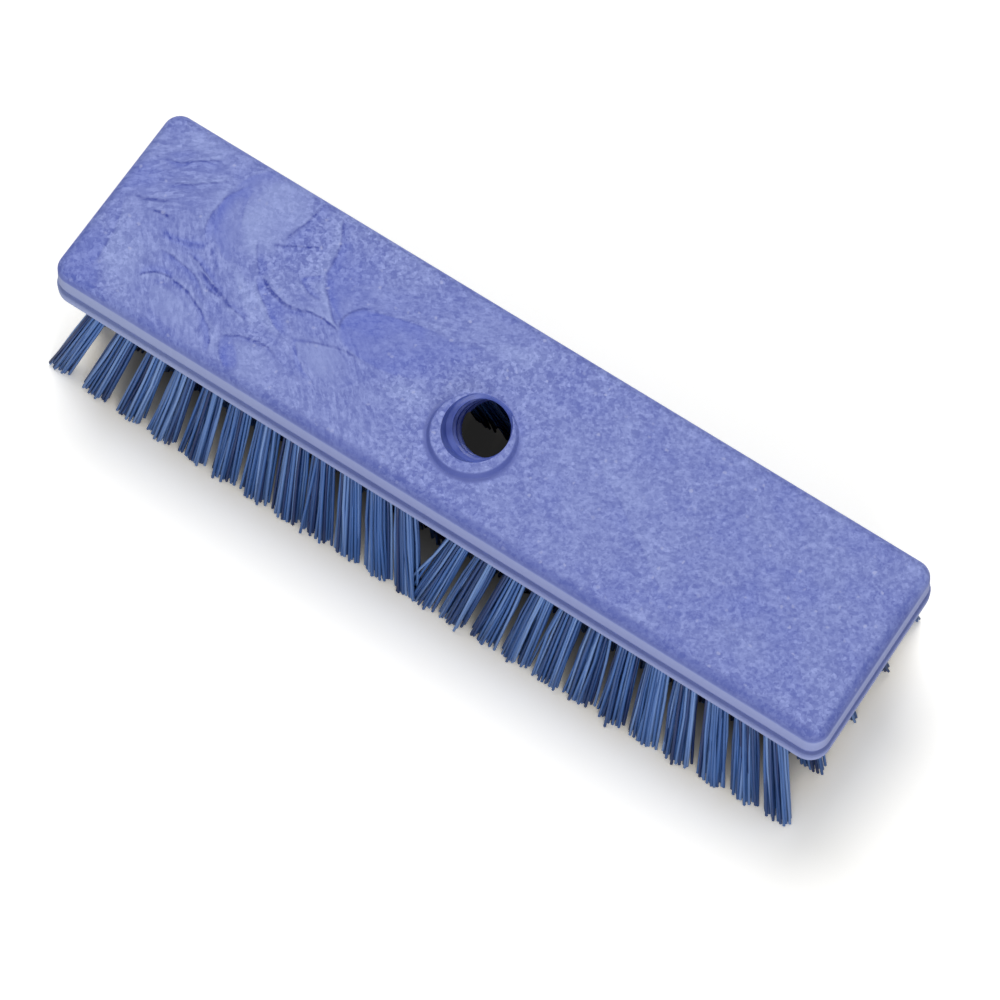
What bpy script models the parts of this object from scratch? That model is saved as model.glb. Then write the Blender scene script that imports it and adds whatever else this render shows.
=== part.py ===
"""Deck brush: a moulded plastic head with a slanted handle socket, and tufts of coarse bristle.

Sizes are in metres and +Z is up. The origin is the middle of the brush, on the plane that the
bristle tips stand on, and +X runs along the head. The handle would lean towards -Y.
"""

import math

import bmesh
import bpy
from mathutils import Matrix, Vector

MM = 0.001

# Head: a flat block with a rounded top edge, a drafted side band, a groove and a proud lower lip
HEAD_LENGTH = 254.0 * MM
HEAD_WIDTH = 62.5 * MM
HEAD_THICKNESS = 15.0 * MM
CORNER_RADIUS = 6.0 * MM
TOP_ROUND = 3.0 * MM
SIDE_DRAFT = 0.4 * MM
LIP_HEIGHT = 3.8 * MM
LIP_REACH = 0.6 * MM
LIP_EDGE_ROUND = 0.5 * MM
GROOVE_HEIGHT = 2.6 * MM
GROOVE_DEPTH = 0.8 * MM
CORNER_STEPS = 6
ROUND_STEPS = 5

# Handle socket: a bore that leans towards -Y, and a raised collar set off to that side of it, so
# that the mouth breaks out of the collar on the +Y side
SOCKET_TILT = math.radians(25.0)
SOCKET_Y_AT_TOP = -4.1 * MM
BORE_RADIUS = 8.1 * MM
MOUTH_RADIUS = 9.6 * MM
MOUTH_DEPTH = 3.4 * MM
SOCKET_WALL = 1.5 * MM
COLLAR_CENTRE_Y = -7.1 * MM
COLLAR_HEIGHT = 2.3 * MM
COLLAR_RIM_RADIUS = 12.0 * MM
COLLAR_DRAFT = 0.5 * MM
COLLAR_RIM_ROUND = 0.5 * MM
COLLAR_FOOT_FILLET = 0.6 * MM
TURNED_STEPS = 48

# Tufts: columns on each side of the socket, each a line of tufts across the head
TRIM_HEIGHT = 43.0 * MM
COLUMNS_PER_SIDE = 12
ROWS = 5
FIRST_ROOT_X = 10.8 * MM
FIRST_TIP_X = 4.0 * MM
END_MARGIN = 17.8 * MM
END_LEAN = 12.7 * MM
EDGE_MARGIN = 7.2 * MM
EDGE_FLARE = 13.4 * MM

# Strands: four square ones to a tuft, splayed a little at the tips
STRANDS_PER_TUFT = 4
STRAND_SIDES = 4
ROOT_SPREAD = 2.1 * MM
TIP_SPREAD = 3.2 * MM
STRAND_RADIUS_ROOT = 1.6 * MM
STRAND_RADIUS_TIP = 1.8 * MM
STRAND_SINK = 1.5 * MM

# Backing: the strip that carries each column's tufts, let into a pocket in the head's underside
SLICE_THICKNESS = 3.0 * MM
SLICE_MARGIN = 4.0 * MM
SEAT_GAP = 0.3 * MM
CUT_OVERRUN = 5.0 * MM

UNDERSIDE_Z = TRIM_HEIGHT
TOP_Z = UNDERSIDE_Z + HEAD_THICKNESS
RIM_Z = TOP_Z + COLLAR_HEIGHT
OUTER_ROW_Y = HEAD_WIDTH / 2 - EDGE_MARGIN
LAST_ROOT_X = HEAD_LENGTH / 2 - END_MARGIN
COLUMN_PITCH = (LAST_ROOT_X - FIRST_ROOT_X) / (COLUMNS_PER_SIDE - 1)
SLICE_WIDTH = 2 * (OUTER_ROW_Y + SLICE_MARGIN)

HEAD_COLOUR = (0.185, 0.215, 0.565, 1.0)
BRISTLE_COLOUR = (0.055, 0.140, 0.430, 1.0)


def clear_scene():
    """Remove whatever the scene holds."""
    for item in list(bpy.data.objects):
        bpy.data.objects.remove(item)


def new_collection(name):
    """Make a collection in the scene."""
    collection = bpy.data.collections.new(name)
    bpy.context.scene.collection.children.link(collection)
    return collection


def plastic(name, colour, roughness):
    """Make a plain plastic material."""
    material = bpy.data.materials.new(name)
    material.use_nodes = True
    shader = material.node_tree.nodes["Principled BSDF"]
    shader.inputs["Base Color"].default_value = colour
    shader.inputs["Roughness"].default_value = roughness
    shader.inputs["Metallic"].default_value = 0.0
    return material


def object_from_bmesh(name, bm, collection):
    """Turn a bmesh into a named object."""
    bmesh.ops.recalc_face_normals(bm, faces=bm.faces[:])
    mesh = bpy.data.meshes.new(name)
    bm.to_mesh(mesh)
    bm.free()
    item = bpy.data.objects.new(name, mesh)
    collection.objects.link(item)
    return item


def as_cutter(item):
    """Mark an object as a tool that only shapes others."""
    item.hide_render = True
    item.display_type = "WIRE"
    return item


def boolean(item, operation, other):
    """Join another object to this one, or cut it away."""
    step = item.modifiers.new(f"{operation.lower()}_{other.name}", "BOOLEAN")
    step.operation = operation
    step.solver = "EXACT"
    step.object = other


def turned(name, profile, collection):
    """Turn a profile of (radius, height) points about the object's own Z axis."""
    bm = bmesh.new()
    points = [bm.verts.new((radius, 0.0, height)) for radius, height in profile]
    for start, end in zip(points, points[1:]):
        bm.edges.new((start, end))
    mesh = bpy.data.meshes.new(name)
    bm.to_mesh(mesh)
    bm.free()
    item = bpy.data.objects.new(name, mesh)
    collection.objects.link(item)
    screw = item.modifiers.new("turn", "SCREW")
    screw.steps = TURNED_STEPS
    screw.render_steps = TURNED_STEPS
    screw.use_merge_vertices = True
    screw.merge_threshold = 0.00001
    return item


def arc(centre, radius, start_degrees, end_degrees, steps):
    """Points along an arc in the plane of a profile, both ends included."""
    points = []
    for step in range(steps + 1):
        angle = math.radians(start_degrees + (end_degrees - start_degrees) * step / steps)
        points.append((centre[0] + radius * math.cos(angle), centre[1] + radius * math.sin(angle)))
    return points


def rounded_outline(length, width, radius, steps):
    """Corner points of a rectangle with round corners, counter-clockwise from above."""
    half_x, half_y = length / 2 - radius, width / 2 - radius
    points = []
    for corner, (sign_x, sign_y) in enumerate(((1, 1), (-1, 1), (-1, -1), (1, -1))):
        centre = (sign_x * half_x, sign_y * half_y)
        points += arc(centre, radius, 90 * corner, 90 * (corner + 1), steps)
    return points


def stacked_outlines(name, levels, radius, steps, collection):
    """Solid through a stack of outlines, given as (length, width, inset, height) levels."""
    bm = bmesh.new()
    rings = []
    for length, width, inset, height in levels:
        outline = rounded_outline(length - 2 * inset, width - 2 * inset, radius - inset, steps)
        rings.append([bm.verts.new((x, y, height)) for x, y in outline])
    for lower, upper in zip(rings, rings[1:]):
        for index in range(len(lower)):
            bm.faces.new((lower[index - 1], lower[index], upper[index], upper[index - 1]))
    bm.faces.new(rings[0])
    bm.faces.new(rings[-1])
    return object_from_bmesh(name, bm, collection)


def box(name, size, centre, collection):
    """A plain box about its own centre."""
    bm = bmesh.new()
    bmesh.ops.create_cube(bm, size=1.0)
    bmesh.ops.scale(bm, vec=size, verts=bm.verts[:])
    item = object_from_bmesh(name, bm, collection)
    item.location = centre
    return item


def head_levels():
    """The head's side from its underside to its top, as insets from the lip's outline."""
    lip_top = UNDERSIDE_Z + LIP_HEIGHT
    groove_top = lip_top + GROOVE_HEIGHT
    band_top = TOP_Z - TOP_ROUND
    groove_inset = LIP_REACH + GROOVE_DEPTH
    band_inset = LIP_REACH + SIDE_DRAFT
    side = [
        (LIP_EDGE_ROUND, UNDERSIDE_Z),
        (0.0, UNDERSIDE_Z + LIP_EDGE_ROUND),
        (0.0, lip_top - LIP_EDGE_ROUND),
        (LIP_EDGE_ROUND, lip_top),
        (groove_inset, lip_top),
        (groove_inset, groove_top),
        (LIP_REACH, groove_top),
    ]
    top_edge = arc((band_inset + TOP_ROUND, band_top), TOP_ROUND, 180, 90, ROUND_STEPS)
    return [(HEAD_LENGTH, HEAD_WIDTH, inset, height) for inset, height in side + top_edge]


def socket_axis_y(height):
    """Where the socket's axis is across the head, at a height."""
    return SOCKET_Y_AT_TOP - (height - TOP_Z) * math.tan(SOCKET_TILT)


def lean_on_socket_axis(item, height):
    """Put an object's own Z axis on the socket's axis, with its origin at a height."""
    item.location = (0.0, socket_axis_y(height), height)
    item.rotation_euler = (SOCKET_TILT, 0.0, 0.0)
    return item


def socket_cutter(name, radius, collection):
    """A leaning cylinder, long enough to pass through the whole head."""
    reach = (HEAD_THICKNESS + COLLAR_HEIGHT) / math.cos(SOCKET_TILT) + CUT_OVERRUN
    bm = bmesh.new()
    bmesh.ops.create_cone(
        bm, cap_ends=True, segments=TURNED_STEPS, radius1=radius, radius2=radius, depth=2 * reach)
    item = object_from_bmesh(name, bm, collection)
    return as_cutter(lean_on_socket_axis(item, UNDERSIDE_Z))


def make_collar(cutters):
    """The raised crescent round the socket's mouth, with a filleted foot."""
    foot_radius = COLLAR_RIM_RADIUS + COLLAR_DRAFT
    foot = arc((foot_radius + COLLAR_FOOT_FILLET, COLLAR_FOOT_FILLET), COLLAR_FOOT_FILLET, 180, 270, 4)
    rim_centre = (COLLAR_RIM_RADIUS - COLLAR_RIM_ROUND, COLLAR_HEIGHT - COLLAR_RIM_ROUND)
    rim = arc(rim_centre, COLLAR_RIM_ROUND, 90, 0, 3)
    sunk = -TOP_ROUND
    profile = [(0.0, COLLAR_HEIGHT)] + rim + foot + [(foot[-1][0], sunk), (0.0, sunk)]
    collar = turned("collar_form", profile, cutters)
    collar.location = (0.0, COLLAR_CENTRE_Y, TOP_Z)
    return as_cutter(collar)


def make_bore(cutters):
    """The hole for the handle: a wider mouth that runs down to the bore proper."""
    reach = (HEAD_THICKNESS + COLLAR_HEIGHT) / math.cos(SOCKET_TILT)
    above = MOUTH_RADIUS * math.tan(SOCKET_TILT) + CUT_OVERRUN
    below = -reach - BORE_RADIUS * math.tan(SOCKET_TILT) - CUT_OVERRUN
    profile = [
        (0.0, above),
        (MOUTH_RADIUS, above),
        (MOUTH_RADIUS, -MOUTH_DEPTH),
        (BORE_RADIUS, -MOUTH_DEPTH - (MOUTH_RADIUS - BORE_RADIUS)),
        (BORE_RADIUS, below),
        (0.0, below),
    ]
    return as_cutter(lean_on_socket_axis(turned("bore_form", profile, cutters), RIM_Z))


def make_pocket(side, wall, cutters):
    """The pocket for one side's backing strips, kept off the socket's wall."""
    inner = FIRST_ROOT_X - COLUMN_PITCH / 2 - SEAT_GAP
    outer = LAST_ROOT_X + COLUMN_PITCH / 2 + SEAT_GAP
    ceiling = UNDERSIDE_Z + SLICE_THICKNESS + SEAT_GAP
    height = ceiling - UNDERSIDE_Z + CUT_OVERRUN
    size = (outer - inner, SLICE_WIDTH + 2 * SEAT_GAP, height)
    centre = (side * (inner + outer) / 2, 0.0, ceiling - height / 2)
    name = "pocket_form_left" if side < 0 else "pocket_form_right"
    pocket = box(name, size, centre, cutters)
    if inner < BORE_RADIUS + SOCKET_WALL:
        boolean(pocket, "DIFFERENCE", wall)
    return as_cutter(pocket)


def make_head(material, parts, cutters):
    """The moulded head with its collar, socket and the two pockets beneath."""
    head = stacked_outlines("head", head_levels(), CORNER_RADIUS, CORNER_STEPS, parts)
    wall = socket_cutter("socket_wall_form", BORE_RADIUS + SOCKET_WALL, cutters)
    boolean(head, "UNION", make_collar(cutters))
    boolean(head, "DIFFERENCE", make_pocket(-1, wall, cutters))
    boolean(head, "DIFFERENCE", make_pocket(1, wall, cutters))
    boolean(head, "DIFFERENCE", make_bore(cutters))
    head.data.materials.append(material)
    return head


def tuft_clears_socket(root_x, root_y):
    """Whether a tuft's strands keep outside the wall round the socket."""
    tuft_radius = ROOT_SPREAD + STRAND_RADIUS_ROOT / math.sqrt(2)
    limit = BORE_RADIUS + SOCKET_WALL + SEAT_GAP + tuft_radius / math.sqrt(2)
    across = (root_y - socket_axis_y(UNDERSIDE_Z)) * math.cos(SOCKET_TILT)
    return math.hypot(root_x, across) > limit


def tufts_in_column(column):
    """Root and tip of each tuft in a column on the +X side."""
    share = column / (COLUMNS_PER_SIDE - 1)
    root_x = FIRST_ROOT_X + column * COLUMN_PITCH
    tip_x = FIRST_TIP_X + share * (LAST_ROOT_X + END_LEAN - FIRST_TIP_X)
    tufts = []
    for row in range(ROWS):
        across = 2 * row / (ROWS - 1) - 1
        root = Vector((root_x, across * OUTER_ROW_Y, UNDERSIDE_Z))
        tip = Vector((tip_x, across * (OUTER_ROW_Y + EDGE_FLARE), 0.0))
        if tuft_clears_socket(root.x, root.y):
            tufts.append((root, tip))
    return tufts


def add_strand(bm, root, tip):
    """One leaning strand with level ends, from its tip to a point sunk in the backing."""
    height = root.z - tip.z + STRAND_SINK
    lean = (root - tip) / (root.z - tip.z)
    made = bmesh.ops.create_cone(
        bm, cap_ends=True, segments=STRAND_SIDES, radius1=STRAND_RADIUS_TIP,
        radius2=STRAND_RADIUS_ROOT, depth=height,
        matrix=Matrix.Rotation(math.pi / STRAND_SIDES, 4, "Z"))
    for point in made["verts"]:
        rise = point.co.z + height / 2
        point.co = Vector((point.co.x, point.co.y, 0.0)) + tip + lean * rise


def make_strands(name, column, side, cutters):
    """All strands of one column, as separate bars."""
    bm = bmesh.new()
    for root, tip in tufts_in_column(column):
        for strand in range(STRANDS_PER_TUFT):
            angle = 2 * math.pi * (strand + 0.5) / STRANDS_PER_TUFT
            around = Vector((math.cos(angle), math.sin(angle), 0.0))
            start = root + around * ROOT_SPREAD
            end = tip + around * TIP_SPREAD
            start.x *= side
            end.x *= side
            add_strand(bm, start, end)
    return as_cutter(object_from_bmesh(name, bm, cutters))


def make_column(column, side, clearance, material, parts, cutters):
    """One column of tufts on its strip of backing."""
    label = f"{'left' if side < 0 else 'right'}_{column + 1:02d}"
    strip_length = COLUMN_PITCH - SEAT_GAP
    centre_x = FIRST_ROOT_X + column * COLUMN_PITCH
    size = (strip_length, SLICE_WIDTH, SLICE_THICKNESS)
    centre = (side * centre_x, 0.0, UNDERSIDE_Z + SLICE_THICKNESS / 2)
    strip = box(f"tufts_{label}", size, centre, parts)
    if centre_x - strip_length / 2 < BORE_RADIUS + SOCKET_WALL + SEAT_GAP:
        boolean(strip, "DIFFERENCE", clearance)
    boolean(strip, "UNION", make_strands(f"strands_{label}", column, side, cutters))
    strip.data.materials.append(material)
    return strip


def main():
    """Build the whole brush."""
    clear_scene()
    parts = new_collection("deck_brush")
    cutters = new_collection("cutters")
    head_plastic = plastic("head_plastic", HEAD_COLOUR, 0.5)
    bristle_plastic = plastic("bristle_plastic", BRISTLE_COLOUR, 0.4)
    make_head(head_plastic, parts, cutters)
    clearance_radius = BORE_RADIUS + SOCKET_WALL + SEAT_GAP
    clearance = socket_cutter("strip_clearance_form", clearance_radius, cutters)
    for side in (-1, 1):
        for column in range(COLUMNS_PER_SIDE):
            make_column(column, side, clearance, bristle_plastic, parts, cutters)


main()
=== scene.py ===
"""Deck brush: the moulded head and its bristles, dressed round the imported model.

Everything is in metres in the model's own frame: +X runs along the head, +Y across it, +Z up, and
the bristle tips stand on Z = 0. The socket's handle would lean towards -Y. The sizes in a finish
are in millimetres, since its nodes read the point in millimetres.
"""

import logging
import math
import random
from dataclasses import dataclass, field, replace
from enum import Enum

import bmesh
import bpy
import numpy as np
from mathutils import Matrix, Vector


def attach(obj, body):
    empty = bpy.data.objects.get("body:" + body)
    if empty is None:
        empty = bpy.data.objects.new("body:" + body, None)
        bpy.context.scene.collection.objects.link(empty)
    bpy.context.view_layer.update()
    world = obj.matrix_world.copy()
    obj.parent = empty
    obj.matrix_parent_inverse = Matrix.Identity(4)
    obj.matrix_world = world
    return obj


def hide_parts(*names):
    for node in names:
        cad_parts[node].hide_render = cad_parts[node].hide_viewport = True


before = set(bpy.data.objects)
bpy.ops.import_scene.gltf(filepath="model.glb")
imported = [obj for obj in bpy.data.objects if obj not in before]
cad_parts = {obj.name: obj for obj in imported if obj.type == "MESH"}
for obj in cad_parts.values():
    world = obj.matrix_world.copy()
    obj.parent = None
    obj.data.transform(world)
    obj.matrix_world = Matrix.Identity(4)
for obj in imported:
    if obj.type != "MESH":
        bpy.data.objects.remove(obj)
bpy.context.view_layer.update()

MM = 0.001
LOG = logging.getLogger("deck_brush")
# How far past its own outline a shape of the marbling may be pushed, in millimetres.
SWAY_MARGIN = 2.5
# A MapRange node with this setting runs smoothly from one value to the other.
EASED = {"interpolation_type": "SMOOTHSTEP"}
# Multiplies a point to leave its place in plan.
IN_PLAN = (1.0, 1.0, 0.0)

Point = tuple[float, float]
Triple = tuple[float, float, float]
# A range of some value and the results at its two ends.
Ease = tuple[float, float, float, float]
# Places from 0 to 1, or heights, with their sRGB hex colours.
Stops = tuple[tuple[float, str], ...]
Socket = bpy.types.NodeSocket


class Side(Enum):
    """The two ends of the head, seen from above with +Y away."""

    LEFT = -1
    RIGHT = 1

    @property
    def word(self) -> str:
        """The side's word in the nodes' names."""
        return self.name.lower()


def linear(colour: str) -> tuple[float, float, float, float]:
    """Turn an sRGB hex colour into linear light.

    Args:
        colour: Six hex digits, such as "818cca".

    Returns:
        Red, green, blue and an alpha of 1.
    """
    parts = [int(colour[at:at + 2], 16) / 255 for at in (0, 2, 4)]
    light = [p / 12.92 if p <= 0.04045 else ((p + 0.055) / 1.055) ** 2.4 for p in parts]
    return (*light, 1.0)


class Nodes:
    """The node tree of a material or of the world, and the way to add to it."""

    def __init__(self, tree: bpy.types.NodeTree) -> None:
        """Take up a tree with the nodes that it has."""
        self.tree = tree

    def feed(self, name: str, inputs: dict | list) -> None:
        """Set a node's inputs, or link what feeds them.

        Args:
            name: The node's name.
            inputs: A plain value or another node's output for each input, by name or in order.
        """
        node = self.tree.nodes[name]
        for key, value in inputs.items() if isinstance(inputs, dict) else enumerate(inputs):
            if isinstance(value, Socket):
                self.tree.links.new(value, node.inputs[key])
            else:
                node.inputs[key].default_value = value

    def add(self, kind: str, inputs: dict | list | None = None, **settings) -> bpy.types.NodeOutputs:
        """Add a shader node, set it up and link what feeds it.

        Args:
            kind: Blender's name of the node type without its "ShaderNode".
            inputs: A plain value or another node's output for each input, by name or in order.
            **settings: The node's own properties.

        Returns:
            The new node's outputs.
        """
        node = self.tree.nodes.new("ShaderNode" + kind)
        for name, value in settings.items():
            setattr(node, name, value)
        self.feed(node.name, inputs or {})
        return node.outputs

    def tint(self, level: Socket, stops: Stops) -> Socket:
        """Turn a level into a colour.

        Args:
            level: A number from 0 to 1.
            stops: The place and the colour of each stop, in rising order.

        Returns:
            The colour as an output.
        """
        colour = self.add("ValToRGB", [level])[0]
        elements = colour.node.color_ramp.elements
        while len(elements) < len(stops):
            elements.new(0.5)
        for element, (place, shade) in zip(elements, stops):
            element.position = place
            element.color = linear(shade)
        return colour

    def point(self) -> Socket:
        """The point that is shaded, in millimetres in the model's frame."""
        place = self.add("TexCoord")["Object"]
        return self.add("VectorMath", {0: place, "Scale": 1 / MM}, operation="SCALE")[0]

    def outside(self, spot: Socket, half: Triple) -> Socket:
        """How far a point lies outside a box round the origin.

        Args:
            spot: The point.
            half: The box's half lengths.

        Returns:
            The distance as an output, which is nought in the box.
        """
        off = self.add("VectorMath", [spot], operation="ABSOLUTE")[0]
        off = self.add("VectorMath", [off, half], operation="SUBTRACT")[0]
        off = self.add("VectorMath", [off, (0.0, 0.0, 0.0)], operation="MAXIMUM")[0]
        return self.add("VectorMath", [off], operation="LENGTH")["Value"]


def arc(centre: Point, radius: float, start: float, end: float, steps: int) -> list[Point]:
    """Points along an arc.

    Args:
        centre: The arc's centre.
        radius: Its radius.
        start: First angle in degrees.
        end: Last angle in degrees.
        steps: Number of chords.

    Returns:
        The points, both ends included.
    """
    angles = [math.radians(start + (end - start) * step / steps) for step in range(steps + 1)]
    return [(centre[0] + radius * math.cos(a), centre[1] + radius * math.sin(a)) for a in angles]


def link_object(name: str, data: bpy.types.ID) -> bpy.types.Object:
    """Put a mesh, a lamp or a camera into the scene.

    Args:
        name: The object's name.
        data: What it shows.

    Returns:
        The new object.
    """
    item = bpy.data.objects.new(name, data)
    bpy.context.scene.collection.objects.link(item)
    return item


def mesh_object(name: str, bm: bmesh.types.BMesh) -> bpy.types.Object:
    """Turn a bmesh into an object of the scene.

    Args:
        name: The object's name.
        bm: The bmesh, which is freed.

    Returns:
        The new object.
    """
    mesh = bpy.data.meshes.new(name)
    bm.to_mesh(mesh)
    bm.free()
    return link_object(name, mesh)


def loft(name: str, rings: list[list[Triple]], rising: bool) -> bpy.types.Object:
    """Make a closed form from rings of points that lie over each other.

    Args:
        name: The object's name.
        rings: The rings, with as many points each.
        rising: Whether each ring lies above the one before it.

    Returns:
        The new object.
    """
    bm = bmesh.new()
    rows = [[bm.verts.new(point) for point in ring] for ring in rings]
    for near, far in zip(rows, rows[1:]):
        for at in range(len(near)):
            bm.faces.new((near[at - 1], near[at], far[at], far[at - 1]))
    first, last = rows[0], rows[-1]
    bm.faces.new(reversed(first) if rising else first)
    bm.faces.new(last if rising else reversed(last))
    bmesh.ops.recalc_face_normals(bm, faces=bm.faces[:])
    return mesh_object(name, bm)


def bake_modifiers(item: bpy.types.Object) -> None:
    """Apply all modifiers of an object.

    Args:
        item: The object, which keeps its place.
    """
    graph = bpy.context.evaluated_depsgraph_get()
    mesh = bpy.data.meshes.new_from_object(item.evaluated_get(graph), depsgraph=graph)
    item.modifiers.clear()
    item.data = mesh


def carve(item: bpy.types.Object, tool: bpy.types.Object, operation: str) -> None:
    """Join a tool to an object or cut it away, and remove the tool.

    Args:
        item: The object to shape.
        tool: The closed form to join or cut with.
        operation: "UNION" or "DIFFERENCE".
    """
    step = item.modifiers.new("carve", "BOOLEAN")
    step.operation = operation
    step.solver = "EXACT"
    step.object = tool
    bake_modifiers(item)
    bpy.data.objects.remove(tool)


@dataclass(frozen=True)
class Oval:
    """A leaning oval on the head's top, by which the marbling is laid out.

    Sizes are in millimetres. Its reach is its half length along its heading, which is in degrees,
    and its breadth is the half length across it. The rim is the share of these at which it ends.
    """

    centre: Point
    reach: float
    breadth: float
    heading: float

    rim = 1.0

    def span(self) -> Point:
        """Find the stretch of the head that it reaches over.

        Returns:
            The lowest and the highest place along the head.
        """
        angle = math.radians(self.heading)
        half = self.rim * math.hypot(self.reach * math.cos(angle), self.breadth * math.sin(angle))
        return self.centre[0] - half - SWAY_MARGIN, self.centre[0] + half + SWAY_MARGIN


@dataclass(frozen=True)
class FlowPatch(Oval):
    """A part of the top that one tongue of melt filled, which shows as a change of tone.

    The heading points from the patch's front back along it. Tones run from -1 (deep blue) to 1
    (pale): the first is the tone at the front, which turns to the second over the depth. The patch
    fades out between two shares of its reach, and calm is how much of the grain its smoother skin
    hides.
    """

    front_tone: float
    body_tone: float
    depth: float = 3.0
    blur: float = 0.8
    fade: Point = (0.0, 0.9)
    calm: float = 0.0


@dataclass(frozen=True)
class FlowLine:
    """A seam where two sheets of melt met, drawn as an arc through three points of the top.

    Sizes are in millimetres. Left and right are the tones beside the seam on the way from its
    start to its end, and they fade over the depth.
    """

    start: Point
    middle: Point
    end: Point
    dark: float
    left: float = 0.0
    right: float = 0.0
    depth: float = 4.0
    width: float = 0.7

    def circle(self) -> tuple[Point, float, float, float, float]:
        """Fit the arc.

        Returns:
            Its centre, its radius, the heading of its middle from the centre, half its length
            across that heading, and 1 where its left is outside the circle or -1 where it is inside.
        """
        (ax, ay), (bx, by), (cx, cy) = self.start, self.middle, self.end
        turn = 2 * ((bx - ax) * (cy - ay) - (by - ay) * (cx - ax))
        b2, c2 = (bx - ax) ** 2 + (by - ay) ** 2, (cx - ax) ** 2 + (cy - ay) ** 2
        ux, uy = ((cy - ay) * b2 - (by - ay) * c2) / turn, ((bx - ax) * c2 - (cx - ax) * b2) / turn
        centre = (ax + ux, ay + uy)
        heading = math.atan2((ay + cy) / 2 - centre[1], (ax + cx) / 2 - centre[0])
        return centre, math.hypot(ux, uy), heading, math.sqrt(c2) / 2, -math.copysign(1.0, turn)

    def span(self) -> Point:
        """Find the stretch of the head that it reaches over.

        Returns:
            The lowest and the highest place along the head.
        """
        places = [point[0] for point in (self.start, self.middle, self.end)]
        margin = max(self.depth, self.width) + SWAY_MARGIN
        return min(places) - margin, max(places) + margin


@dataclass(frozen=True)
class FlowStreaks(Oval):
    """A part of the top where the melt was drawn out in streaks, soft towards its rim.

    The share is how much of the even grain the streaks replace in the middle. They start to fade at
    the full part of the oval's size and are gone at its rim. The length and width are a streak's.
    """

    share: float
    length: float = 4.0
    width: float = 0.9

    full = 0.4
    rim = 1.1


class Finish:
    """A material, which its own class describes and fills with nodes."""

    name: str

    def fill(self, nodes: Nodes) -> None:
        """Add the finish's own nodes.

        Args:
            nodes: The nodes of a new material.
        """
        raise NotImplementedError

    def material(self) -> bpy.types.Material:
        """Make the material.

        Returns:
            The new material.
        """
        material = bpy.data.materials.new(self.name)
        material.use_nodes = True
        self.fill(Nodes(material.node_tree))
        return material


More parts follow.
